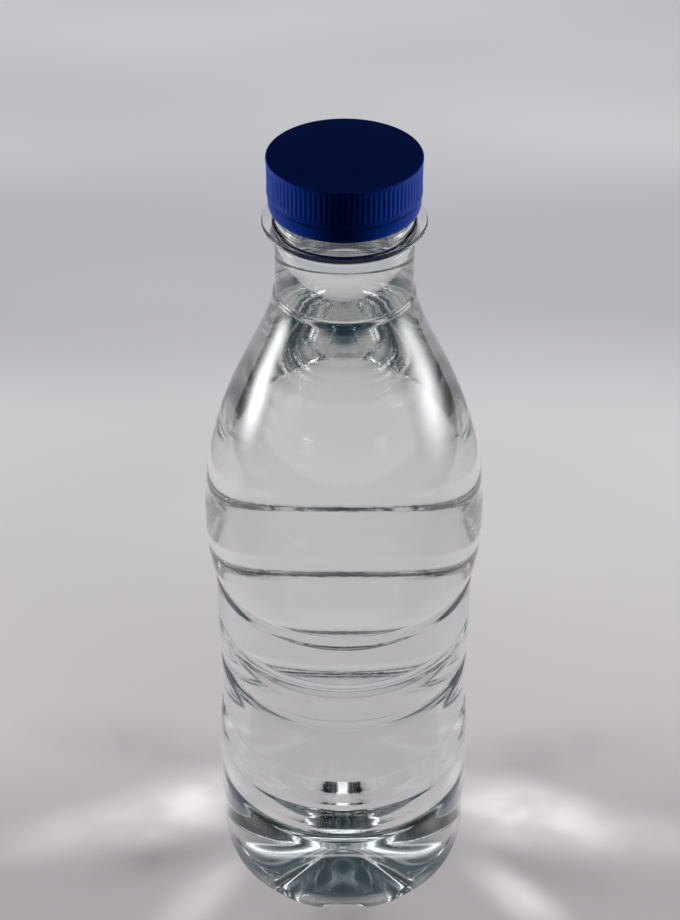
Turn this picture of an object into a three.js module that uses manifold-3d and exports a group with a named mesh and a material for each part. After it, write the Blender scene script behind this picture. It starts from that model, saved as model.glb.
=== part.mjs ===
// A full clear plastic water bottle with a blue screw cap, standing on its moulded base.
// Millimetres. The axis is +Z, the floor is z = 0 and the foot at azimuth 0 points to -Y.

import * as THREE from 'three';
import { mergeVertices } from 'three/addons/utils/BufferGeometryUtils.js';
import Module from 'manifold-3d';

const wasm = await Module();
wasm.setup();

// Body radii: the waist, and how far the base and the shoulder bulge stand out from it
const waistRadius = 31.6;
const baseReach = 1.65;
const bulgeReach = 1.65;

// Body heights, each stretch on top of the one before: base wall and band, waist, bulge, shoulder
const baseHeight = 44.6;
const bandFlare = 10.6;
const waistLength = 44.6;
const bulgeFlare = 11.7;
const bulgeLength = 4.1;
const shoulderLength = 63.3;
const shoulderFullness = 34.5;
const flareHeight = 14.7;
const flareReach = 2.5;

// Moulded base: feet on a rounded heel, with valleys between them and a notch in each foot
const footCount = 5;
const heelRadius = 9.3;
const padCut = 0.75;
const floorRise = 7.6;
const floorCentreRadius = 5;
const valleyDepth = 3.2;
const valleySharpness = 24;
const valleyReach = [0.2, 0.8];
const notchDepth = 1.6;
const notchHalfAngle = THREE.MathUtils.degToRad(14);
const notchReach = [0, 0.35, 0.55, 0.9];

// Walls of the bottle: thin in the body, thicker towards the neck
const bodyWall = 0.4;
const neckWall = 1.25;
const wallThickens = 22;
const finishWall = 1.6;

// Neck: the straight stretch under the support ring, and the ring
const neckReach = 0.35;
const neckStep = 0.6;
const neckStepHeight = 1.5;
const neckLength = 15.5;
const ringReach = 2.55;
const ringThickness = 1.3;
const ringEdge = 0.25;

// Neck finish above the ring: collar, tamper bead, threaded wall and mouth
const finishRadius = 13.75;
const collarReach = 0.95;
const beadReach = 0.55;
const beadHeight = 0.9;
const beadLip = 0.1;
const mouthRounding = 0.4;
const boreFlare = 3;

// Screw thread, the same helix on the neck and in the cap
const threadPitch = 3.18;
const threadReach = 0.9;
const threadRootWidth = 1.3;
const threadTipWidth = 0.7;
const threadSink = 0.3;
const threadTopMargin = 1.38;
const neckThreadTurns = 1.5;
const capThreadTurns = 1.25;
const threadRunOut = 0.12;
const threadStartAngle = THREE.MathUtils.degToRad(4);

// Screw cap: ribbed skirt, flat top with a chamfered rim, thread and plug seal
const capTopThickness = 1.4;
const skirtWall = 1.4;
const skirtMargin = 0.74;
const capChamfer = 0.4;
const ribCount = 90;
const ribDepth = 0.35;
const ribInset = 0.1;
const ribTopMargin = 0.8;
const ribBottomMargin = 1.1;
const ribRootInset = 0.25;
const rimLap = 0.1;
const plugWall = 0.8;
const plugLength = 2.6;

// Tamper band under the cap, held behind the bead by its inner flap
const bandInset = 0.23;
const bandHeight = 3.1;
const bandChamfer = 0.5;
const flapHeight = 0.9;
const flapSlope = 0.3;

// Clearances between pieces, and the height of the water over the foot of the neck
const seatClearance = 0.3;
const threadClearance = 0.3;
const slitWidth = 0.35;
const bandAboveRing = 2.85;
const waterClearance = 0.3;
const waterRise = 14.1;

// Fineness of the faceted surfaces
const turnSegments = 40;
const capSegments = 60;
const threadStepsPerTurn = 24;
const heelSteps = 6;
const floorSteps = 6;
const shoulderSteps = 7;
const nearestHeights = 0.6;
const weldDistance = 1e-4;
const ridgeEndShare = 0.1;

// Radii that follow from the sizes above
const baseRadius = waistRadius + baseReach;
const bulgeRadius = waistRadius + bulgeReach;
const footRadius = baseRadius - heelRadius;
const collarRadius = finishRadius + collarReach;
const beadRadius = collarRadius + beadReach;
const neckRadius = collarRadius + neckReach;
const ringRadius = neckRadius + ringReach;
const boreRadius = finishRadius - finishWall;
const skirtInner = finishRadius + threadReach + threadClearance;
const capRadius = skirtInner + skirtWall;
const bandOuter = capRadius - bandInset;

// Heights that follow from the sizes above, from the floor up
const heelHeight = heelRadius - padCut;
const waistBottom = baseHeight + bandFlare;
const waistTop = waistBottom + waistLength;
const bulgeBottom = waistTop + bulgeFlare;
const shoulderBottom = bulgeBottom + bulgeLength;
const shoulderTop = shoulderBottom + shoulderLength;
const neckBottom = shoulderTop + neckStepHeight;
const waterLevel = neckBottom + waterRise;
const ringBottom = neckBottom + neckLength;
const ringTop = ringBottom + ringThickness;
const bandBottom = ringTop + bandAboveRing;
const bandTop = bandBottom + bandHeight;
const beadBottom = bandBottom + flapHeight + flapSlope + seatClearance;
const beadTop = beadBottom + beadHeight;
const capBottom = bandTop + slitWidth;
const capThreadStart = capBottom + skirtMargin + threadRootWidth / 2;
const neckThreadStart = capThreadStart - threadPitch / 2;
const neckThreadEnd = neckThreadStart + neckThreadTurns * threadPitch;
const mouthTop = neckThreadEnd + threadRootWidth / 2 + threadTopMargin;
const capUnderside = mouthTop + seatClearance;
const capTop = capUnderside + capTopThickness;

// Ring grooves pressed into the wall: height of the middle, half width and depth
const grooves = [
  { height: baseHeight - 9.3, halfWidth: 3.9, depth: 0.6 },
  { height: baseHeight + 0.6, halfWidth: 2.3, depth: 0.5 },
  { height: waistBottom - 0.9, halfWidth: 2.0, depth: 1.0 },
  { height: waistBottom + 18.9, halfWidth: 2.2, depth: 1.05 },
  { height: waistBottom + 31.6, halfWidth: 2.6, depth: 1.0 },
  { height: waistTop + 2.9, halfWidth: 2.8, depth: 0.95 },
];
const footAngle = (2 * Math.PI) / footCount;

const point = (radius, height) => new THREE.Vector2(radius, height);
const smooth = (value, from, to) => THREE.MathUtils.smoothstep(value, from, to);

// The shoulder is one curve from the bulge to the step under the neck
const shoulderEnd = neckRadius + neckStep;
const shoulder = new THREE.CubicBezierCurve(
  point(bulgeRadius, shoulderBottom),
  point(bulgeRadius, shoulderBottom + shoulderFullness),
  point(shoulderEnd + flareReach, shoulderTop - flareHeight),
  point(shoulderEnd, shoulderTop),
);

// How far the grooves press the wall in at a height
function grooveDepth(height) {
  let depth = 0;
  for (const groove of grooves) {
    const offset = Math.abs(height - groove.height) / groove.halfWidth;
    if (offset < 1) depth += groove.depth * (1 + Math.cos(Math.PI * offset)) / 2;
  }
  return depth;
}

// Outer radius of the wall between the heel and the shoulder
function wallRadius(height) {
  const base = THREE.MathUtils.clamp((waistBottom - height) / bandFlare, 0, 1);
  const bulge = THREE.MathUtils.clamp((height - waistTop) / bulgeFlare, 0, 1);
  return waistRadius + baseReach * base + bulgeReach * bulge - grooveDepth(height);
}

// Heights at which the wall changes: the edges and flanks of each groove, and the flares
function wallHeights() {
  const heights = [heelHeight, baseHeight, (baseHeight + waistBottom) / 2, waistBottom];
  heights.push((waistTop + bulgeBottom) / 2, bulgeBottom);
  for (const groove of grooves) {
    for (const share of [-1, -0.4, 0.4, 1]) heights.push(groove.height + share * groove.halfWidth);
  }
  heights.sort((low, high) => low - high);
  return heights.filter((height, index) => index === 0 || height - heights[index - 1] > nearestHeights);
}

// Thickness of the wall at a height: thin in the body, thick in the neck
function wallThickness(height) {
  return THREE.MathUtils.lerp(bodyWall, neckWall, smooth(height, neckBottom - wallThickens, neckBottom));
}

// Outline from the middle of the floor to the foot of the neck, moved in by the wall and a gap
function bodyOutline(walls, gap) {
  const inset = (height) => walls * wallThickness(height) + gap;
  const low = inset(0);
  const outline = [];
  for (let step = 0; step < floorSteps; step += 1) {
    const radius = (footRadius * step) / floorSteps;
    const rise = (1 + Math.cos((Math.PI * radius) / footRadius)) / 2;
    outline.push(point(radius, (floorRise + padCut) * rise - padCut + low));
  }
  for (let step = 0; step < heelSteps; step += 1) {
    const angle = (Math.PI / 2) * (1 - step / heelSteps);
    const reach = heelRadius - low;
    outline.push(point(footRadius + reach * Math.cos(angle), heelHeight - reach * Math.sin(angle)));
  }
  for (const height of wallHeights()) outline.push(point(wallRadius(height) - inset(height), height));
  for (const spot of shoulder.getPoints(shoulderSteps)) outline.push(point(spot.x - inset(spot.y), spot.y));
  outline.push(point(neckRadius - inset(neckBottom), neckBottom));
  return outline;
}

// Presses in the heel and floor at the valleys and notches, and flattens the feet at the lowest height
function mouldBase(geometry, lowest) {
  const positions = geometry.getAttribute('position');
  for (let index = 0; index < positions.count; index += 1) {
    const x = positions.getX(index);
    const y = positions.getY(index);
    const height = positions.getZ(index);
    const radius = Math.hypot(x, y);
    if (height >= heelHeight || radius === 0) continue;
    const azimuth = Math.atan2(x, -y);
    const fromFoot = Math.abs(azimuth - footAngle * Math.round(azimuth / footAngle));
    const valley = Math.sin((Math.PI * fromFoot) / footAngle) ** valleySharpness;
    const notch = (1 + Math.cos(Math.PI * Math.min(1, fromFoot / notchHalfAngle))) / 2;
    const turn = Math.atan2(heelHeight - height, Math.max(0, radius - footRadius));
    const down = turn / (Math.PI / 2);
    const valleyShare = smooth(down, ...valleyReach) * smooth(radius, floorCentreRadius, footRadius);
    const notchStarts = smooth(down, notchReach[0], notchReach[1]);
    const notchShare = notchStarts - notchStarts * smooth(down, notchReach[2], notchReach[3]);
    const press = valleyDepth * valley * valleyShare + notchDepth * notch * notchShare;
    const share = 1 - (press * Math.cos(turn)) / radius;
    positions.setXYZ(index, x * share, y * share, Math.max(lowest, height + press * Math.sin(turn)));
  }
  return geometry;
}

// Turns an outline of radius and height about +Z
function turned(outline, segments = turnSegments) {
  return new THREE.LatheGeometry(outline, segments).rotateX(Math.PI / 2);
}

// Welds a closed mesh and drops its empty triangles, so that it can be joined and cut
function toSolid(geometry) {
  const bare = geometry.clone();
  bare.deleteAttribute('normal');
  bare.deleteAttribute('uv');
  const welded = mergeVertices(bare, weldDistance);
  const triangles = [];
  const index = welded.getIndex().array;
  for (let corner = 0; corner < index.length; corner += 3) {
    const [a, b, c] = [index[corner], index[corner + 1], index[corner + 2]];
    if (a !== b && b !== c && c !== a) triangles.push(a, b, c);
  }
  return new wasm.Manifold(new wasm.Mesh({
    numProp: 3,
    vertProperties: new Float32Array(welded.getAttribute('position').array),
    triVerts: new Uint32Array(triangles),
  }));
}

// Turns a joined or cut solid back into a mesh
function toGeometry(solid) {
  const mesh = solid.getMesh();
  const geometry = new THREE.BufferGeometry();
  geometry.setAttribute('position', new THREE.BufferAttribute(mesh.vertProperties, 3));
  geometry.setIndex(new THREE.BufferAttribute(mesh.triVerts, 1));
  geometry.computeVertexNormals();
  return geometry;
}

// A straight bar of the thread's section, wrapped round the axis as a right-handed helix
function threadRidge(rootRadius, tipRadius, startHeight, turns) {
  const root = threadRootWidth / 2;
  const tip = threadTipWidth / 2;
  const section = new THREE.Shape([
    point(rootRadius, -root), point(tipRadius, -tip), point(tipRadius, tip), point(rootRadius, root),
  ]);
  const steps = Math.round(turns * threadStepsPerTurn);
  const ridge = new THREE.ExtrudeGeometry(section, { depth: 1, steps, bevelEnabled: false });
  const positions = ridge.getAttribute('position');
  for (let index = 0; index < positions.count; index += 1) {
    const along = 1 - positions.getZ(index);
    const runOut = Math.min(1, along / threadRunOut, (1 - along) / threadRunOut);
    const radius = THREE.MathUtils.lerp(rootRadius, positions.getX(index), Math.max(runOut, ridgeEndShare));
    const angle = threadStartAngle + along * turns * 2 * Math.PI;
    const height = startHeight + positions.getY(index) + along * turns * threadPitch;
    positions.setXYZ(index, radius * Math.sin(angle), -radius * Math.cos(angle), height);
  }
  return toSolid(ridge);
}

// Outer skin of the bottle, from the middle of the floor to the middle of the mouth
function bottleOutside() {
  return [
    ...bodyOutline(0, 0),
    point(neckRadius, ringBottom),
    point(ringRadius - ringEdge, ringBottom),
    point(ringRadius, ringBottom + ringEdge),
    point(ringRadius, ringTop - ringEdge),
    point(ringRadius - ringEdge, ringTop),
    point(collarRadius, ringTop),
    point(collarRadius, beadBottom),
    point(beadRadius, beadBottom + beadLip),
    point(collarRadius, beadTop),
    point(finishRadius, beadTop + collarReach),
    point(finishRadius, mouthTop - mouthRounding),
    point(finishRadius - mouthRounding, mouthTop),
    point(0, mouthTop),
  ];
}

// Inner skin of the bottle, run out past the mouth
function bottleCavity() {
  return [
    ...bodyOutline(1, 0),
    point(neckRadius - neckWall, ringBottom - boreFlare),
    point(boreRadius, ringBottom),
    point(boreRadius, mouthTop - mouthRounding),
    point(boreRadius + 2 * mouthRounding, mouthTop + mouthRounding),
    point(0, mouthTop + mouthRounding),
  ];
}

// Bottle: one blown and moulded piece, from the base to the threaded mouth
function bottleGeometry() {
  const outside = toSolid(mouldBase(turned(bottleOutside()), 0));
  const cavity = toSolid(mouldBase(turned(bottleCavity()), bodyWall));
  const rootRadius = finishRadius - threadSink;
  const tipRadius = finishRadius + threadReach;
  const thread = threadRidge(rootRadius, tipRadius, neckThreadStart, neckThreadTurns);
  return toGeometry(outside.add(thread).subtract(cavity));
}

// Water: fills the bottle to a little under the support ring
function waterGeometry() {
  const side = bodyOutline(1, waterClearance);
  const throat = neckRadius - neckWall;
  const taper = (waterLevel - (ringBottom - boreFlare)) / boreFlare;
  const surfaceRadius = THREE.MathUtils.lerp(throat, boreRadius, taper) - waterClearance;
  side.push(point(throat - waterClearance, ringBottom - boreFlare));
  side.push(point(surfaceRadius, waterLevel), point(0, waterLevel));
  return mouldBase(turned(side), bodyWall + waterClearance);
}

// Rib ring of the cap: a gear-like outline round a plain hole, sunk into the skirt's two rims
function ribRing() {
  const tip = capRadius - ribInset;
  const root = tip - ribDepth;
  const outline = [];
  for (let rib = 0; rib < ribCount; rib += 1) {
    for (const [share, radius] of [[0, root], [0.3, root], [0.45, tip], [0.85, tip]]) {
      const angle = (2 * Math.PI * (rib + share)) / ribCount;
      outline.push(point(radius * Math.cos(angle), radius * Math.sin(angle)));
    }
  }
  const ring = new THREE.Shape(outline);
  const hole = new THREE.Path();
  hole.absarc(0, 0, root - 2 * ribRootInset, 0, 2 * Math.PI, true);
  ring.holes.push(hole);
  const bottom = capBottom + ribBottomMargin - rimLap;
  const depth = capTop - ribTopMargin + rimLap - bottom;
  const curveSegments = capSegments / 2;
  const geometry = new THREE.ExtrudeGeometry(ring, { depth, bevelEnabled: false, curveSegments });
  return toSolid(geometry.translate(0, 0, bottom));
}

// Cap: one moulded piece with ribbed skirt, inner thread and plug seal
function capGeometry() {
  const underRibs = capRadius - ribInset - ribDepth - ribRootInset;
  const plugOuter = boreRadius - seatClearance;
  const outline = [
    point(0, capUnderside),
    point(plugOuter - plugWall, capUnderside),
    point(plugOuter - plugWall, capUnderside - plugLength),
    point(plugOuter, capUnderside - plugLength),
    point(plugOuter, capUnderside),
    point(skirtInner, capUnderside),
    point(skirtInner, capBottom),
    point(capRadius, capBottom),
    point(capRadius, capBottom + ribBottomMargin),
    point(underRibs, capBottom + ribBottomMargin),
    point(underRibs, capTop - ribTopMargin),
    point(capRadius, capTop - ribTopMargin),
    point(capRadius, capTop - capChamfer),
    point(capRadius - capChamfer, capTop),
    point(0, capTop),
  ];
  const blank = toSolid(turned(outline, capSegments));
  const rootRadius = skirtInner + threadSink;
  const tipRadius = skirtInner - threadReach;
  const thread = threadRidge(rootRadius, tipRadius, capThreadStart, capThreadTurns);
  return toGeometry(blank.add(ribRing()).add(thread));
}

// Tamper band: a thin ring with an inner flap under the bead of the neck
function bandGeometry() {
  const inner = beadRadius + seatClearance;
  const flapRadius = collarRadius + seatClearance;
  const outline = [
    point(inner, bandTop),
    point(inner, bandBottom + flapHeight + flapSlope),
    point(flapRadius, bandBottom + flapHeight),
    point(flapRadius, bandBottom + flapSlope),
    point(inner, bandBottom),
    point(bandOuter - bandChamfer, bandBottom),
    point(bandOuter, bandBottom + 2 * bandChamfer),
    point(bandOuter, bandTop),
    point(inner, bandTop),
  ];
  return turned(outline);
}

function piece(name, geometry, look) {
  const mesh = new THREE.Mesh(geometry, new THREE.MeshStandardMaterial(look));
  mesh.name = name;
  return mesh;
}

const clearPlastic = { color: 0xe8eef0, roughness: 0.05, metalness: 0, transparent: true, opacity: 0.35 };
const clearWater = { color: 0xdfeaf0, roughness: 0, metalness: 0, transparent: true, opacity: 0.35 };
const bluePlastic = { color: 0x0a2ca0, roughness: 0.35, metalness: 0 };

const bottle = new THREE.Group();
bottle.add(piece('bottle', bottleGeometry(), clearPlastic));
bottle.add(piece('water', waterGeometry(), clearWater));
bottle.add(piece('cap', capGeometry(), bluePlastic));
bottle.add(piece('tamper_band', bandGeometry(), bluePlastic));

export default bottle;
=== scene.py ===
# A full clear plastic water bottle with a blue screw cap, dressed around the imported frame.
# Sizes are in millimetres until a mesh is made, and in metres after that.

import math

import bpy
import numpy as np
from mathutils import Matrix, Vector


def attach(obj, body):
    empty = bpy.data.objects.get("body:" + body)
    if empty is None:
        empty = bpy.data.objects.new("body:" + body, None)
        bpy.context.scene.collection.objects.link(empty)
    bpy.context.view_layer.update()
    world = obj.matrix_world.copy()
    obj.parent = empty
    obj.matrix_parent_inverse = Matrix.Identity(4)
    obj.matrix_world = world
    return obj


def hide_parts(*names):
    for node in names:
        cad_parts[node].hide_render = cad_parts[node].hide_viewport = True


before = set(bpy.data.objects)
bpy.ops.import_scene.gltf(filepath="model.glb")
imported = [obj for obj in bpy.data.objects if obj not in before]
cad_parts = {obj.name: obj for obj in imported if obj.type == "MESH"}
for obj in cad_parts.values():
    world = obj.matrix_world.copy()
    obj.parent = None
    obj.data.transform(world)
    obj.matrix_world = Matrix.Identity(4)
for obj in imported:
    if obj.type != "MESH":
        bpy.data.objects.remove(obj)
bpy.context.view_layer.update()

MM = 0.001

# Sizes of the bottle, as in the part's source
WAIST_RADIUS = 31.6
BASE_RADIUS = 33.25
BULGE_RADIUS = 33.25
BASE_HEIGHT = 44.6
WAIST_BOTTOM = 55.2
WAIST_TOP = 99.8
BULGE_BOTTOM = 111.5
SHOULDER_BOTTOM = 115.6
SHOULDER_FULLNESS = 34.5
SHOULDER_TOP = 178.9
FLARE_HEIGHT = 14.7
FLARE_REACH = 2.5
GROOVES = (
    (35.3, 3.9, 0.6),
    (45.2, 2.3, 0.5),
    (54.3, 2.0, 1.0),
    (74.1, 2.2, 1.05),
    (86.8, 2.6, 1.0),
    (102.7, 2.8, 0.95),
)  # each groove: middle height, half width, depth
FOOT_ANGLE = 2 * math.pi / 5
HEEL_RADIUS = 9.3
HEEL_HEIGHT = 8.55
FOOT_RADIUS = BASE_RADIUS - HEEL_RADIUS
PAD_CUT = 0.75
FLOOR_RISE = 7.6
FLOOR_CENTRE = 5.0
VALLEY_DEPTH = 3.2
VALLEY_SHARPNESS = 24
VALLEY_REACH = (0.2, 0.8)
NOTCH_DEPTH = 1.6
NOTCH_HALF_ANGLE = math.radians(14)
NOTCH_REACH = (0, 0.35, 0.55, 0.9)
BODY_WALL = 0.4
NECK_WALL = 1.25
WALL_THICKENS = 22.0
NECK_RADIUS = 15.05
NECK_STEP = 0.6
NECK_BOTTOM = 180.4
RING_RADIUS = 17.6
RING_BOTTOM = 195.9
RING_TOP = 197.2
RING_EDGE = 0.45
RING_FILLET = 0.3
COLLAR_FILLET = 0.35
COLLAR_RADIUS = 14.7
BEAD_RADIUS = 15.25
BEAD_BOTTOM = 201.55
BEAD_TOP = 202.45
BEAD_EDGE = 0.12
BEAD_SLOPE = 0.85
FINISH_RADIUS = 13.75
BORE_RADIUS = 12.15
BORE_FLARE = 3.0
MOUTH_TOP = 210.1
MOUTH_EDGE = 0.5
WATER_LEVEL = 194.5
MENISCUS = 0.3
MENISCUS_REACH = 0.9
WATER_OVERLAP = 0.12
THREAD_PITCH = 3.18
THREAD_REACH = 0.9
THREAD_HALF_WIDTH = 0.72
THREAD_FLANK = 0.45
THREAD_RUN_OUT = 0.1
THREAD_START_ANGLE = math.radians(4)
NECK_THREAD_START = 203.3
NECK_THREAD_TURNS = 1.5
CAP_RADIUS = 16.35
CAP_BOTTOM = 203.5
CAP_TOP = 211.8
CAP_UNDERSIDE = 210.4
CAP_EDGE = 0.4
SKIRT_INNER = 14.95
SKIRT_EDGE = 0.2
RIB_COUNT = 90
RIB_INSET = 0.1
RIB_DEPTH = 0.1
RIB_TOP_MARGIN = 0.8
RIB_BOTTOM_MARGIN = 1.1
PLUG_CLEARANCE = 0.3
PLUG_LENGTH = 2.3
PLUG_WALL = 0.8
PLUG_EDGE = 0.3
CAP_THREAD_START = 204.89
CAP_THREAD_TURNS = 1.25
BAND_OUTER = 16.12
BAND_BOTTOM = 200.05
BAND_TOP = 203.15
BAND_CLEARANCE = 0.3

# Rows and columns of the meshes
SEGMENTS = 160
CAP_SEGMENTS = 720
BAND_SEGMENTS = 240
FLOOR_ROWS = 22
HEEL_ROWS = 20
SHOULDER_ROWS = 90
GROOVE_ROW = 0.42
WALL_ROW = 2.0
THREAD_ROW = 0.25


def smooth(value, low, high):
    share = np.clip((np.asarray(value, float) - low) / (high - low), 0, 1)
    return share * share * (3 - 2 * share)


def wall_radius(height):
    """Outer radius of the wall between the heel and the shoulder."""
    height = np.asarray(height, float)
    band = np.clip((WAIST_BOTTOM - height) / (WAIST_BOTTOM - BASE_HEIGHT), 0, 1)
    radius = WAIST_RADIUS + (BASE_RADIUS - WAIST_RADIUS) * band
    bulge = np.clip((height - WAIST_TOP) / (BULGE_BOTTOM - WAIST_TOP), 0, 1)
    radius = radius + (BULGE_RADIUS - WAIST_RADIUS) * bulge
    for middle, half_width, depth in GROOVES:
        offset = np.abs(height - middle) / half_width
        radius = radius - np.where(offset < 1, depth * (1 + np.cos(math.pi * offset)) / 2, 0)
    return radius


def wall_heights():
    """Heights of the rows of the wall, closer together in the grooves."""
    heights = [HEEL_HEIGHT]
    while heights[-1] < SHOULDER_BOTTOM:
        low = heights[-1]
        in_groove = any(abs(low - middle) < half_width + 0.3 for middle, half_width, _ in GROOVES)
        heights.append(low + (GROOVE_ROW if in_groove else WALL_ROW))
    heights[-1] = SHOULDER_BOTTOM
    return heights


def shoulder_points(count):
    """Points of the shoulder's curve, from the bulge to the foot of the neck."""
    end = NECK_RADIUS + NECK_STEP
    corners = (
        (BULGE_RADIUS, SHOULDER_BOTTOM),
        (BULGE_RADIUS, SHOULDER_BOTTOM + SHOULDER_FULLNESS),
        (end + FLARE_REACH, SHOULDER_TOP - FLARE_HEIGHT),
        (end, SHOULDER_TOP),
    )
    points = []
    for step in range(1, count + 1):
        t = step / count
        weights = ((1 - t) ** 3, 3 * t * (1 - t) ** 2, 3 * t * t * (1 - t), t**3)
        points.append(tuple(sum(w * c[axis] for w, c in zip(weights, corners)) for axis in (0, 1)))
    return points


def body_outline(walls, gap):
    """Outline from the middle of the floor to the foot of the neck, moved in by walls and a gap."""

    def inset(height):
        thick = BODY_WALL + (NECK_WALL - BODY_WALL) * smooth(height, NECK_BOTTOM - WALL_THICKENS, NECK_BOTTOM)
        return walls * float(thick) + gap

    low = inset(0)
    outline = []
    for step in range(FLOOR_ROWS):
        radius = FOOT_RADIUS * step / FLOOR_ROWS
        rise = (1 + math.cos(math.pi * radius / FOOT_RADIUS)) / 2
        outline.append((radius, (FLOOR_RISE + PAD_CUT) * rise - PAD_CUT + low))
    for step in range(HEEL_ROWS):
        angle = math.pi / 2 * (1 - step / HEEL_ROWS)
        reach = HEEL_RADIUS - low
        outline.append((FOOT_RADIUS + reach * math.cos(angle), HEEL_HEIGHT - reach * math.sin(angle)))
    for height in wall_heights():
        outline.append((float(wall_radius(height)) - inset(height), height))
    for radius, height in shoulder_points(SHOULDER_ROWS):
        outline.append((radius - inset(height), height))
    for share in (0.2, 0.4, 0.6, 0.8, 1):
        height = SHOULDER_TOP + (NECK_BOTTOM - SHOULDER_TOP) * share
        radius = NECK_RADIUS + NECK_STEP * (1 - float(smooth(share, 0, 1)))
        outline.append((radius - inset(height), height))
    return outline


def mould_base(grid, lowest):
    """Presses the valleys and notches into the heel and floor, and flattens the feet."""
    x, y, z = grid[..., 0], grid[..., 1], grid[..., 2]
    radius = np.maximum(np.hypot(x, y), 1e-6)
    azimuth = np.arctan2(x, -y)
    from_foot = np.abs(azimuth - FOOT_ANGLE * np.round(azimuth / FOOT_ANGLE))
    valley = np.sin(math.pi * from_foot / FOOT_ANGLE) ** VALLEY_SHARPNESS
    notch = (1 + np.cos(math.pi * np.minimum(1, from_foot / NOTCH_HALF_ANGLE))) / 2
    turn = np.arctan2(HEEL_HEIGHT - z, np.maximum(0, radius - FOOT_RADIUS))
    down = turn / (math.pi / 2)
    valley_share = smooth(down, *VALLEY_REACH) * smooth(radius, FLOOR_CENTRE, FOOT_RADIUS)
    notch_share = smooth(down, *NOTCH_REACH[:2]) * (1 - smooth(down, *NOTCH_REACH[2:]))
    press = VALLEY_DEPTH * valley * valley_share + NOTCH_DEPTH * notch * notch_share
    press = np.where((z < HEEL_HEIGHT) & (radius > 1e-5), press, 0)
    share = 1 - press * np.cos(turn) / radius
    moved = np.stack((x * share, y * share, z + press * np.sin(turn)), axis=-1)
    moved[..., 2] = np.where(z < HEEL_HEIGHT, np.maximum(lowest, moved[..., 2]), z)
    return moved


def turned(outline, segments):
    """Rows of points, the outline turned about +Z: azimuth 0 is -Y, and it runs towards +X."""
    angles = 2 * math.pi * np.arange(segments) / segments
    radii, heights = np.array(outline, float).T
    x = radii[:, None] * np.sin(angles)
    y = -radii[:, None] * np.cos(angles)
    z = np.broadcast_to(heights[:, None], x.shape)
    return np.stack((x, y, z), axis=-1)


def skin(name, grid, material, closed=False):
    """A mesh from rows of points in millimetres, with a pole at each end row, or the ends joined."""
    rows, segments, _ = grid.shape
    points = grid.reshape(-1, 3) * MM
    across = np.roll(np.arange(segments), -1)
    row = np.arange(rows if closed else rows - 1)[:, None] * segments
    above = (row + segments) % (rows * segments)
    here = np.arange(segments)[None, :]
    faces = np.stack((row + here, row + across, above + across, above + here), axis=-1).reshape(-1, 4)
    faces = [tuple(face) for face in faces.tolist()]
    if not closed:
        start = rows * segments
        ends = np.stack((grid[0].mean(axis=0), grid[-1].mean(axis=0))) * MM
        points = np.concatenate((points, ends))
        last = (rows - 1) * segments
        for here, there in enumerate(across.tolist()):
            faces.append((start, there, here))
            faces.append((last + here, last + there, start + 1))
    mesh = bpy.data.meshes.new(name)
    mesh.from_pydata(points.tolist(), [], faces)
    mesh.update()
    mesh.shade_smooth()
    mesh.materials.append(material)
    piece = bpy.data.objects.new(name, mesh)
    bpy.context.scene.collection.objects.link(piece)
    return piece


def arc(centre, radius, start, end, steps):
    """Points of an arc in the plane of radius and height, between two angles in degrees."""
    points = []
    for step in range(steps + 1):
        angle = math.radians(start + (end - start) * step / steps)
        points.append((centre[0] + radius * math.cos(angle), centre[1] + radius * math.sin(angle)))
    return points


def thread_reach(grid, start_height, turns):
    """How far a right-handed thread stands out at each point of a grid, from 0 to 1."""
    azimuth = np.arctan2(grid[..., 0], -grid[..., 1]) - THREAD_START_ANGLE
    azimuth = azimuth % (2 * math.pi)
    reach = np.zeros(azimuth.shape)
    for lap in range(math.ceil(turns)):
        along = (azimuth / (2 * math.pi) + lap) / turns
        off = np.abs(grid[..., 2] - start_height - along * turns * THREAD_PITCH)
        ridge = smooth(THREAD_HALF_WIDTH - off, 0, THREAD_FLANK)
        run_out = smooth(np.minimum(along, 1 - along), 0, THREAD_RUN_OUT)
        reach = np.maximum(reach, ridge * run_out)
    return reach


# Materials


def new_material(name):
    material = bpy.data.materials.new(name)
    material.use_nodes = True
    nodes = material.node_tree.nodes
    return material, nodes, material.node_tree.links, nodes["Principled BSDF"]


def add_bump(nodes, links, shader, scale, strength, distance, detail=2.0, stretch=(1, 1, 1)):
    """Fine relief from noise in object coordinates."""
    place = nodes.new("ShaderNodeTexCoord")
    mapping = nodes.new("ShaderNodeMapping")
    mapping.inputs["Scale"].default_value = stretch
    noise = nodes.new("ShaderNodeTexNoise")
    noise.inputs["Scale"].default_value = scale
    noise.inputs["Detail"].default_value = detail
    bump = nodes.new("ShaderNodeBump")
    bump.inputs["Strength"].default_value = strength
    bump.inputs["Distance"].default_value = distance
    links.new(place.outputs["Object"], mapping.inputs["Vector"])
    links.new(mapping.outputs["Vector"], noise.inputs["Vector"])
    links.new(noise.outputs["Fac"], bump.inputs["Height"])
    links.new(bump.outputs["Normal"], shader.inputs["Normal"])
    return noise


def clear_material(name, colour, index, scale, wave):
    """A clear refracting material with a faint waviness."""
    material, nodes, links, shader = new_material(name)
    shader.inputs["Base Color"].default_value = (*colour, 1)
    shader.inputs["Roughness"].default_value = 0
    shader.inputs["IOR"].default_value = index
    shader.inputs["Transmission Weight"].default_value = 1
    add_bump(nodes, links, shader, scale, wave, 0.001, detail=3, stretch=(1, 1, 2.5))
    return material


def cap_material():
    material, nodes, links, shader = new_material("blue_plastic")
    shader.inputs["Base Color"].default_value = (0.0022, 0.032, 0.275, 1)
    shader.inputs["Roughness"].default_value = 0.3
    shader.inputs["Specular IOR Level"].default_value = 0.04
    shader.inputs["IOR"].default_value = 1.5
    add_bump(nodes, links, shader, 900, 0.06, 0.0003, detail=3)
    return material


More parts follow.
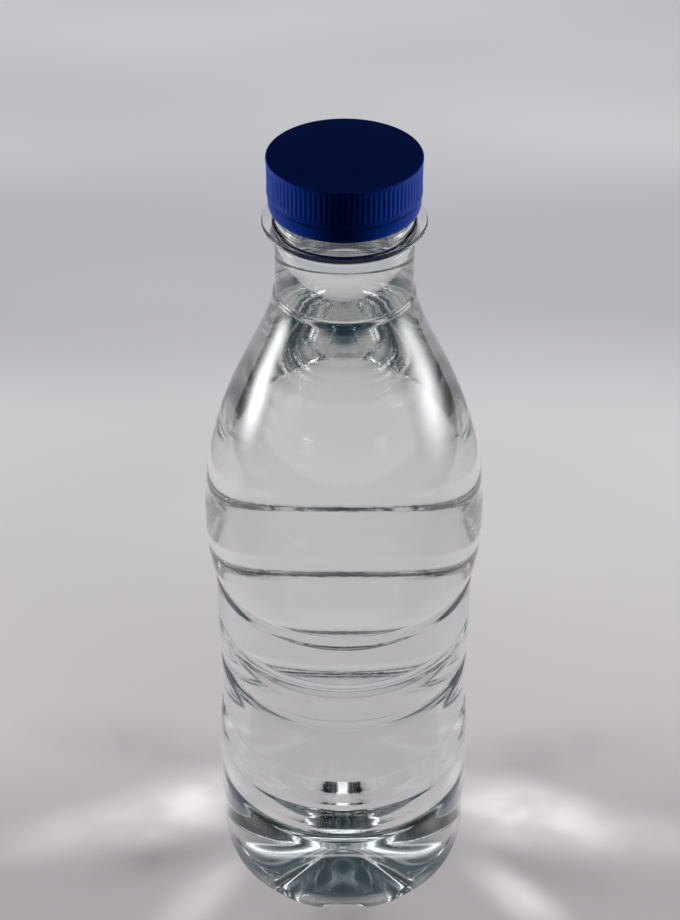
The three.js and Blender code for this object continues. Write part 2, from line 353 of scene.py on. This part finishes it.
PET = clear_material("clear_plastic", (0.985, 0.992, 0.99), 1.575, 420, 0.005)
WATER = clear_material("clear_water", (0.985, 0.995, 0.995), 1.333, 90, 0.004)
BLUE = cap_material()

# Bottle: outer skin up to the lip, then the inner skin down again



def finish_outside():
    """Outer outline from the foot of the neck to the mouth."""
    outline = [(NECK_RADIUS, NECK_BOTTOM + (RING_BOTTOM - NECK_BOTTOM) * step / 6) for step in range(1, 6)]
    fillet, edge = RING_FILLET, RING_EDGE
    outline += [(NECK_RADIUS, RING_BOTTOM - fillet)]
    outline += arc((NECK_RADIUS + fillet, RING_BOTTOM - fillet), fillet, 180, 90, 3)[1:]
    outline += arc((RING_RADIUS - edge, RING_BOTTOM + edge), edge, -90, 0, 5)
    outline += arc((RING_RADIUS - edge, RING_TOP - edge), edge, 0, 90, 5)
    fillet = COLLAR_FILLET
    outline += [(COLLAR_RADIUS + fillet, RING_TOP)]
    outline += arc((COLLAR_RADIUS + fillet, RING_TOP + fillet), fillet, 270, 180, 4)[1:]
    outline += [(COLLAR_RADIUS, BEAD_BOTTOM - 0.1), (COLLAR_RADIUS, BEAD_BOTTOM)]
    outline += arc((BEAD_RADIUS - BEAD_EDGE, BEAD_BOTTOM + BEAD_EDGE), BEAD_EDGE, -90, 30, 4)
    outline += [(COLLAR_RADIUS, BEAD_TOP), (FINISH_RADIUS + 0.1, BEAD_TOP + BEAD_SLOPE)]
    height = BEAD_TOP + BEAD_SLOPE + 0.1
    while height < MOUTH_TOP - MOUTH_EDGE - 0.1:
        outline.append((FINISH_RADIUS, height))
        height += THREAD_ROW
    outline += arc((FINISH_RADIUS - MOUTH_EDGE, MOUTH_TOP - MOUTH_EDGE), MOUTH_EDGE, 0, 90, 5)
    return outline


def bore_radius(height):
    """Inner radius of the neck, from its foot to the support ring."""
    share = smooth((RING_BOTTOM - height) / BORE_FLARE, 0, 1)
    return float(BORE_RADIUS + (NECK_RADIUS - NECK_WALL - BORE_RADIUS) * share)


def finish_inside():
    """Inner outline from the mouth to the foot of the neck."""
    outline = arc((BORE_RADIUS + MOUTH_EDGE, MOUTH_TOP - MOUTH_EDGE), MOUTH_EDGE, 90, 180, 5)
    for share in (0.3, 0.6, 0.95):
        outline.append((BORE_RADIUS, MOUTH_TOP - share * (MOUTH_TOP - RING_BOTTOM)))
    for step in range(9):
        height = RING_BOTTOM - BORE_FLARE * step / 8
        outline.append((bore_radius(height), height))
    straight = RING_BOTTOM - BORE_FLARE - NECK_BOTTOM
    for share in (0.8, 0.6, 0.4, 0.2):
        outline.append((NECK_RADIUS - NECK_WALL, NECK_BOTTOM + straight * share))
    return outline


def make_bottle():
    outside = mould_base(turned(body_outline(0, 0) + finish_outside(), SEGMENTS), 0)
    reach = thread_reach(outside, NECK_THREAD_START, NECK_THREAD_TURNS)
    wall = np.hypot(outside[..., 0], outside[..., 1])
    on_finish = (outside[..., 2] > BEAD_TOP) & (np.abs(wall - FINISH_RADIUS) < 0.15)
    grow = 1 + np.where(on_finish, reach * THREAD_REACH, 0) / np.maximum(wall, 1)
    outside[..., 0] *= grow
    outside[..., 1] *= grow
    inside = turned(finish_inside() + body_outline(1, 0)[::-1], SEGMENTS)
    inside = mould_base(inside, BODY_WALL)
    # The two poles come from the end rows, which shrink to points at the axis
    grid = np.concatenate((outside[1:], inside[:-1]))
    return skin("bottle_shell", grid, PET)


def make_water():
    """Water up to the wall: it reaches a little into it, so that light meets no air between them."""
    outline = body_outline(1, -WATER_OVERLAP)
    top = WATER_LEVEL + MENISCUS
    bottom = RING_BOTTOM - BORE_FLARE
    for step in range(7):
        height = bottom + (top - bottom) * step / 6
        outline.append((bore_radius(height) + WATER_OVERLAP, height))
    edge = bore_radius(top)
    for back in (0.06, 0.2, 0.5, 1.0, 1.8, 3.0, 5.0, 9.0):
        outline.append((edge - back, WATER_LEVEL + MENISCUS * math.exp(-back / MENISCUS_REACH) - 0.05))
    outline.append((0.5, WATER_LEVEL - 0.05))
    grid = mould_base(turned(outline, SEGMENTS), BODY_WALL - WATER_OVERLAP)
    return skin("water_body", grid[1:], WATER)


# Cap: ribbed skirt outside, thread and plug seal inside


def cap_outline():
    """Outline of the cap from the middle of its top, and the rows where its inner wall starts and ends."""
    rib_top = CAP_TOP - RIB_TOP_MARGIN
    rib_bottom = CAP_BOTTOM + RIB_BOTTOM_MARGIN
    outline = [(0.5, CAP_TOP), (8, CAP_TOP)]
    outline += arc((CAP_RADIUS - CAP_EDGE, CAP_TOP - CAP_EDGE), CAP_EDGE, 90, 0, 5)
    rows = 14
    outline += [(CAP_RADIUS, rib_top + (rib_bottom - rib_top) * step / rows) for step in range(rows + 1)]
    outline += [(CAP_RADIUS, rib_bottom - 0.25), (CAP_RADIUS, CAP_BOTTOM + 0.3)]
    edge = SKIRT_EDGE
    outline += arc((CAP_RADIUS - edge, CAP_BOTTOM + edge), edge, 0, -90, 3)
    outline += arc((SKIRT_INNER + edge, CAP_BOTTOM + edge), edge, 270, 180, 3)
    inner_start = len(outline)
    low = CAP_BOTTOM + 2 * edge
    rows = 26
    outline += [(SKIRT_INNER, low + (CAP_UNDERSIDE - low) * step / rows) for step in range(rows + 1)]
    inner_end = len(outline)
    plug = BORE_RADIUS - PLUG_CLEARANCE
    tip = CAP_UNDERSIDE - PLUG_LENGTH
    outline += [(plug + 0.2, CAP_UNDERSIDE), (plug, CAP_UNDERSIDE - 0.2), (plug, tip)]
    outline += arc((plug - PLUG_EDGE, tip), PLUG_EDGE, 0, -90, 3)
    outline += [(plug - PLUG_WALL, tip - 0.1), (plug - PLUG_WALL, CAP_UNDERSIDE)]
    outline += [(8, CAP_UNDERSIDE), (0.5, CAP_UNDERSIDE)]
    return outline, inner_start, inner_end


def make_cap():
    outline, inner_start, inner_end = cap_outline()
    grid = turned(outline, CAP_SEGMENTS)
    radius = np.hypot(grid[..., 0], grid[..., 1])
    row = np.arange(len(outline))[:, None]
    phase = (RIB_COUNT * np.arange(CAP_SEGMENTS) / CAP_SEGMENTS) % 1
    valley = 0.5 + 0.5 * np.cos(2 * math.pi * phase)
    rib_top = CAP_TOP - RIB_TOP_MARGIN
    rib_bottom = CAP_BOTTOM + RIB_BOTTOM_MARGIN
    share = smooth(grid[..., 2], rib_bottom - 0.15, rib_bottom + 0.35)
    share = share * (1 - smooth(grid[..., 2], rib_top - 0.35, rib_top + 0.1))
    on_skirt = (radius > CAP_RADIUS - 0.01) & (row < inner_start)
    shrink = np.where(on_skirt, share * (RIB_INSET + RIB_DEPTH * valley[None, :]), 0)
    reach = thread_reach(grid, CAP_THREAD_START, CAP_THREAD_TURNS) * THREAD_REACH
    shrink = shrink + np.where((row >= inner_start) & (row < inner_end), reach, 0)
    scale = 1 - shrink / np.maximum(radius, 1)
    grid[..., 0] *= scale
    grid[..., 1] *= scale
    return skin("screw_cap", grid[::-1], BLUE)


def make_band():
    inner = BEAD_RADIUS + BAND_CLEARANCE
    flap = COLLAR_RADIUS + BAND_CLEARANCE
    outline = [(inner, BAND_TOP), (BAND_OUTER - 0.12, BAND_TOP)]
    outline += arc((BAND_OUTER - 0.15, BAND_TOP - 0.15), 0.15, 75, 0, 3)
    outline += [(BAND_OUTER, BAND_BOTTOM + 1.1), (BAND_OUTER - 0.1, BAND_BOTTOM + 0.7)]
    outline += arc((BAND_OUTER - 0.55, BAND_BOTTOM + 0.3), 0.3, 0, -90, 4)
    outline += [(inner, BAND_BOTTOM), (flap, BAND_BOTTOM + 0.3)]
    outline += [(flap, BAND_BOTTOM + 0.9), (inner, BAND_BOTTOM + 1.2)]
    grid = turned(outline, BAND_SEGMENTS)
    return skin("turning_ring", grid[::-1], BLUE, closed=True)


shell = make_bottle()
water = make_water()
cap = make_cap()
band = make_band()

for piece, node, body, slot_name in (
    (shell, "bottle", "bottle", "bottle"),
    (water, "water", "bottle", "water"),
    (cap, "cap", "cap", "cap"),
    (band, "tamper_band", "turning_band", "cap"),
):
    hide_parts(node)
    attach(piece, body)

# Studio: pale paper, two lamps beside the bottle, and a world that is dark above the horizon


def stage_plane(name, corners, material):
    mesh = bpy.data.meshes.new(name)
    mesh.from_pydata(corners, [], [tuple(range(len(corners)))])
    mesh.materials.append(material)
    plane = bpy.data.objects.new(name, mesh)
    bpy.context.scene.collection.objects.link(plane)
    return plane


def math_node(nodes, links, operation, *values, clamp=False):
    """A Math node fed with sockets or numbers; returns its output."""
    node = nodes.new("ShaderNodeMath")
    node.operation = operation
    node.use_clamp = clamp
    for socket, value in zip(node.inputs, values):
        if isinstance(value, (int, float)):
            socket.default_value = value
        else:
            links.new(value, socket)
    return node.outputs[0]


def map_node(nodes, links, value, low, high, to_low=0.0, to_high=1.0, kind="SMOOTHSTEP"):
    """Maps a socket's value from one range to another, smoothly unless told otherwise."""
    node = nodes.new("ShaderNodeMapRange")
    node.interpolation_type = kind
    links.new(value, node.inputs["Value"])
    node.inputs["From Min"].default_value = low
    node.inputs["From Max"].default_value = high
    node.inputs["To Min"].default_value = to_low
    node.inputs["To Max"].default_value = to_high
    return node.outputs[0]


def ramp_node(nodes, links, value, stops, kind="EASE"):
    """A colour ramp over a socket's value from 0 to 1."""
    node = nodes.new("ShaderNodeValToRGB")
    node.color_ramp.interpolation = kind
    elements = node.color_ramp.elements
    while len(elements) < len(stops):
        elements.new(0.5)
    for element, (position, colour) in zip(elements, stops):
        element.position = position
        element.color = (*colour, 1)
    links.new(value, node.inputs["Fac"])
    return node.outputs["Color"]


def length_node(nodes, links, vector):
    """Length of a vector socket."""
    node = nodes.new("ShaderNodeVectorMath")
    node.operation = "LENGTH"
    links.new(vector, node.inputs[0])
    return node.outputs["Value"]


def mix_node(nodes, links, first, second, factor=None, kind="MULTIPLY"):
    """Mixes two colours: multiplied in full, or blended by a factor's socket."""
    node = nodes.new("ShaderNodeMix")
    node.data_type = "RGBA"
    node.blend_type = kind
    node.inputs["Factor"].default_value = 1
    if factor is not None:
        links.new(factor, node.inputs["Factor"])
    links.new(first, node.inputs["A"])
    if isinstance(second, tuple):
        node.inputs["B"].default_value = second
    else:
        links.new(second, node.inputs["B"])
    return node.outputs["Result"]


def caustic_share(nodes, links, place, split):
    """Light thrown on the paper by the bottle: soft patches broken into rays that run from the axis."""
    ahead = math_node(nodes, links, "MULTIPLY", split.outputs["Y"], -1)
    turn = math_node(nodes, links, "ARCTAN2", split.outputs["X"], ahead)
    far = length_node(nodes, links, place.outputs["Object"])
    polar = nodes.new("ShaderNodeCombineXYZ")
    links.new(math_node(nodes, links, "MULTIPLY", turn, RAY_COUNT), polar.inputs["X"])
    links.new(math_node(nodes, links, "MULTIPLY", far, RAY_BREAK), polar.inputs["Y"])
    streaks = nodes.new("ShaderNodeTexNoise")
    streaks.inputs["Scale"].default_value = 1
    streaks.inputs["Detail"].default_value = 2
    links.new(polar.outputs["Vector"], streaks.inputs["Vector"])
    broken = map_node(nodes, links, streaks.outputs["Fac"], *RAY_NOISE, RAY_LEAST, 1)
    total = 0.0
    for x, y, reach_x, reach_y, angle, gain in CAUSTICS:
        patch = nodes.new("ShaderNodeMapping")
        patch.vector_type = "TEXTURE"
        patch.inputs["Location"].default_value = (x, y, 0)
        patch.inputs["Rotation"].default_value = (0, 0, math.radians(angle))
        patch.inputs["Scale"].default_value = (reach_x, reach_y, 1)
        links.new(place.outputs["Object"], patch.inputs["Vector"])
        off = length_node(nodes, links, patch.outputs["Vector"])
        soft = map_node(nodes, links, off, 0, 1, gain, 0)
        total = math_node(nodes, links, "ADD", total, soft)
    return math_node(nodes, links, "MULTIPLY", total, broken)


def under_share(nodes, links, place, split):
    """How much of the paper is in the shade under the glass: two ellipses and the back of a ring."""
    dark = []
    for middle, reach in UNDER_GLASS:
        centred = nodes.new("ShaderNodeMapping")
        centred.inputs["Location"].default_value = (0, -middle / reach[1], 0)
        centred.inputs["Scale"].default_value = (1 / reach[0], 1 / reach[1], 1)
        links.new(place.outputs["Object"], centred.inputs["Vector"])
        near = length_node(nodes, links, centred.outputs["Vector"])
        dark.append(map_node(nodes, links, near, *UNDER_EDGE, 1, 0))
    under = math_node(nodes, links, "MAXIMUM", *dark)
    axis = length_node(nodes, links, place.outputs["Object"])
    off_ring = math_node(nodes, links, "SUBTRACT", axis, UNDER_RING)
    off_ring = math_node(nodes, links, "ABSOLUTE", off_ring)
    ring = map_node(nodes, links, off_ring, *UNDER_RING_EDGE, 1, 0)
    behind = map_node(nodes, links, split.outputs["Y"], *UNDER_RING_START)
    ring = math_node(nodes, links, "MULTIPLY", ring, behind)
    return math_node(nodes, links, "MAXIMUM", under, ring)


def paper_tone_with_painted_shade(nodes, links, place, split):
    """The paper's pale tone with painted light and shade: lighter and darker bands with distance, and faint
    broad clouds of painted shade.
    """
    stretched = nodes.new("ShaderNodeMapping")
    stretched.inputs["Scale"].default_value = CLOUD_STRETCH
    links.new(place.outputs["Object"], stretched.inputs["Vector"])
    noise = nodes.new("ShaderNodeTexNoise")
    noise.inputs["Scale"].default_value = CLOUD_SCALE
    noise.inputs["Detail"].default_value = 1
    links.new(stretched.outputs["Vector"], noise.inputs["Vector"])
    depth = map_node(nodes, links, split.outputs["Y"], *FLOOR_DEPTH, kind="LINEAR")
    tone = ramp_node(nodes, links, depth, FLOOR_TONES_WITH_PAINTED_SHADE)
    vary = map_node(nodes, links, noise.outputs["Fac"], 0.3, 0.7, *CLOUD_RANGE)
    return mix_node(nodes, links, tone, vary)


def floor_material():
    """Pale paper that the camera and the rays through the glass see partly at its own brightness."""
    material, nodes, links, shader = new_material("paper_floor")
    shader.inputs["Roughness"].default_value = 1
    shader.inputs["Specular IOR Level"].default_value = 0
    place = nodes.new("ShaderNodeTexCoord")
    split = nodes.new("ShaderNodeSeparateXYZ")
    links.new(place.outputs["Object"], split.inputs["Vector"])
    path = nodes.new("ShaderNodeLightPath")
    camera_ray, mirrored = path.outputs["Is Camera Ray"], path.outputs["Is Glossy Ray"]
    # The paper's pale tone, with painted light and shade in bands and clouds
    tone = paper_tone_with_painted_shade(nodes, links, place, split)
    # In front of the bottle, the paper is dark for mirrored and bounced light
    front = map_node(nodes, links, split.outputs["Y"], *FRONT_FADE, FRONT_SHARE, 1)
    indirect = math_node(nodes, links, "MAXIMUM", mirrored, path.outputs["Is Diffuse Ray"])
    direct = math_node(nodes, links, "SUBTRACT", 1, indirect)
    front = math_node(nodes, links, "MAXIMUM", front, direct)
    rays = math_node(nodes, links, "ADD", 1, caustic_share(nodes, links, place, split))
    paper = mix_node(nodes, links, tone, math_node(nodes, links, "MULTIPLY", front, rays))
    links.new(paper, shader.inputs["Base Color"])
    # Under the glass it is dark through the glass, and less so where the camera sees it directly
    under = under_share(nodes, links, place, split)
    fainter = map_node(nodes, links, camera_ray, 0, 1, 1, UNDER_DIRECT)
    under = math_node(nodes, links, "MULTIPLY", under, fainter)
    shown = mix_node(nodes, links, paper, (*UNDER_COLOUR, 1), under, "MIX")
    glow = nodes.new("ShaderNodeEmission")
    links.new(shown, glow.inputs["Color"])
    seen = math_node(nodes, links, "MULTIPLY", camera_ray, FLOOR_GLOW)
    through = math_node(nodes, links, "MAXIMUM", path.outputs["Is Transmission Ray"], mirrored)
    mix = nodes.new("ShaderNodeMixShader")
    links.new(math_node(nodes, links, "MAXIMUM", seen, through), mix.inputs["Fac"])
    links.new(shader.outputs["BSDF"], mix.inputs[1])
    links.new(glow.outputs["Emission"], mix.inputs[2])
    links.new(mix.outputs["Shader"], nodes["Material Output"].inputs["Surface"])
    return material


# Tones of the paper over a range of Y, pale paper with painted light and shade in bands and broad clouds, and
# how much of its look doesn't depend on the lamps
FLOOR_DEPTH = (-0.1, 0.6)
FLOOR_TONES_WITH_PAINTED_SHADE = (
    (0.0, (0.38, 0.35, 0.37)),
    (0.11, (0.44, 0.415, 0.43)),
    (0.2, (0.6, 0.57, 0.59)),
    (0.4, (0.66, 0.64, 0.665)),
    (0.53, (0.53, 0.52, 0.56)),
    (0.63, (0.56, 0.55, 0.59)),
    (0.76, (0.65, 0.64, 0.67)),
)
FLOOR_GLOW = 0.8
CLOUD_STRETCH = (0.6, 1.6, 1)
CLOUD_SCALE = 4.2
CLOUD_RANGE = (0.93, 1.07)
FRONT_FADE = (-0.1, 0.02)
FRONT_SHARE = 0.06

# Light thrown by the bottle: middle, reach along and across, turn in degrees, gain; below zero is shade
CAUSTICS = (
    (-0.043, 0.007, 0.034, 0.019, 14, 0.8),
    (-0.070, 0.000, 0.048, 0.014, 18, 0.45),
    (0.049, 0.003, 0.038, 0.020, -16, 0.9),
    (0.080, -0.004, 0.054, 0.016, -18, 0.45),
    (-0.040, -0.026, 0.030, 0.011, 52, 0.55),
    (0.048, -0.025, 0.026, 0.010, -46, 0.85),
    (-0.060, 0.030, 0.050, 0.016, -10, -0.16),
    (0.062, 0.026, 0.050, 0.016, 10, -0.16),
    (-0.048, -0.011, 0.034, 0.010, 22, -0.28),
    (0.050, -0.013, 0.034, 0.010, -24, -0.28),
    (0.0, -0.033, 0.026, 0.010, 0, -0.3),
)
RAY_COUNT = 3.0
RAY_BREAK = 40
RAY_NOISE = (0.36, 0.66)
RAY_LEAST = 0.5

# Shade under the bottle: each ellipse's middle in Y and its reach in X and Y, and a ring's radius
UNDER_GLASS = ((-0.0035, (0.0175, 0.0205)), (-0.0065, (0.0285, 0.012)))
UNDER_EDGE = (0.75, 1.15)
UNDER_RING = 0.0222
UNDER_RING_EDGE = (0.0012, 0.0034)
UNDER_RING_START = (0.002, 0.007)
UNDER_COLOUR = (0.012, 0.034, 0.048)
UNDER_DIRECT = 0.35

FLOOR_SIZE = 4.0
stage_plane(
    "floor",
    [(x * FLOOR_SIZE, y * FLOOR_SIZE, 0) for x, y in ((-1, -1), (1, -1), (1, 1), (-1, 1))],
    floor_material(),
)

# How sharply a lamp fades to its edges, and its share of brightness in mirror reflections
LAMP_FADE = 1.6
MIRRORED = 0.24


def lamp_card(name, place, size, brightness):
    """A soft-edged glowing card that faces the bottle and isn't seen by the camera."""
    material, nodes, links, shader = new_material(name)
    nodes.remove(shader)
    coordinates = nodes.new("ShaderNodeTexCoord")
    split = nodes.new("ShaderNodeSeparateXYZ")
    links.new(coordinates.outputs["Object"], split.inputs["Vector"])
    half_width, half_height = size[0] / 2, size[1] / 2
    across = math_node(nodes, links, "ABSOLUTE", split.outputs["X"])
    upward = math_node(nodes, links, "ABSOLUTE", split.outputs["Y"])
    fade_x = map_node(nodes, links, across, 0, half_width, 1, 0)
    fade_y = map_node(nodes, links, upward, 0, half_height, 1, 0)
    fade = math_node(nodes, links, "MULTIPLY", fade_x, fade_y)
    fade = math_node(nodes, links, "POWER", fade, LAMP_FADE)
    path = nodes.new("ShaderNodeLightPath")
    level = map_node(nodes, links, path.outputs["Is Glossy Ray"], 0, 1, brightness, brightness * MIRRORED)
    glow = nodes.new("ShaderNodeEmission")
    links.new(math_node(nodes, links, "MULTIPLY", fade, level), glow.inputs["Strength"])
    links.new(glow.outputs["Emission"], nodes["Material Output"].inputs["Surface"])
    w, h = half_width, half_height
    card = stage_plane(name, [(-w, -h, 0), (w, -h, 0), (w, h, 0), (-w, h, 0)], material)
    card.location = place
    card.rotation_mode = "QUATERNION"
    card.rotation_quaternion = (Vector((0, 0, place[2])) - Vector(place)).to_track_quat("Z", "Y")
    card.visible_camera = False
    return card


lamp_card("lamp_left", (-0.45, 0.07, 0.15), (0.36, 0.27), 38)
lamp_card("lamp_right", (0.45, 0.06, 0.15), (0.56, 0.3), 24)

# World by height: pale at the horizon, dark in the middle, pale again above, with a brighter window
# high behind the bottle; dim for bounced light
WORLD_PALE_LOW = (0.4, 0.42, 0.44)
WORLD_DARK = (0.012, 0.022, 0.028)
WORLD_PALE_HIGH = (0.42, 0.44, 0.46)
WORLD_TONES = ((0.0, WORLD_PALE_LOW), (0.25, WORLD_DARK), (0.58, WORLD_DARK), (0.76, WORLD_PALE_HIGH))
WINDOW_HEIGHT = (0.7, 0.8)
WINDOW_BEHIND = (0.15, 0.35)
WINDOW_GAIN = 2.5
WORLD_BOUNCED = 0.15


def light_world():
    world = bpy.data.worlds.new("studio")
    bpy.context.scene.world = world
    world.use_nodes = True
    nodes, links = world.node_tree.nodes, world.node_tree.links
    background = nodes["Background"]
    place = nodes.new("ShaderNodeTexCoord")
    split = nodes.new("ShaderNodeSeparateXYZ")
    links.new(place.outputs["Generated"], split.inputs["Vector"])
    tone = ramp_node(nodes, links, split.outputs["Z"], WORLD_TONES, "LINEAR")
    links.new(tone, background.inputs["Color"])
    path = nodes.new("ShaderNodeLightPath")
    high = map_node(nodes, links, split.outputs["Z"], *WINDOW_HEIGHT)
    behind = map_node(nodes, links, split.outputs["Y"], *WINDOW_BEHIND)
    window = math_node(nodes, links, "MULTIPLY", high, behind)
    window = math_node(nodes, links, "MULTIPLY", window, WINDOW_GAIN)
    level = math_node(nodes, links, "ADD", 1, window)
    dimmed = map_node(nodes, links, path.outputs["Is Diffuse Ray"], 0, 1, 1, WORLD_BOUNCED)
    links.new(math_node(nodes, links, "MULTIPLY", level, dimmed), background.inputs["Strength"])


light_world()

# Camera, solved from the photograph's outline: it looks 38.28 degrees down
camera_data = bpy.data.cameras.new("camera")
camera_data.lens = 64.81
camera_data.sensor_width = 36
camera_data.clip_start = 0.01
camera = bpy.data.objects.new("camera", camera_data)
bpy.context.scene.collection.objects.link(camera)
camera.location = (-0.00095, -0.3055, 0.3730)
camera.rotation_euler = (math.radians(90 - 38.28), 0, 0)
bpy.context.scene.camera = camera

bpy.context.scene.view_settings.view_transform = "Standard"
bpy.context.scene.cycles.max_bounces = 24
bpy.context.scene.cycles.transmission_bounces = 24
bpy.context.scene.cycles.glossy_bounces = 12
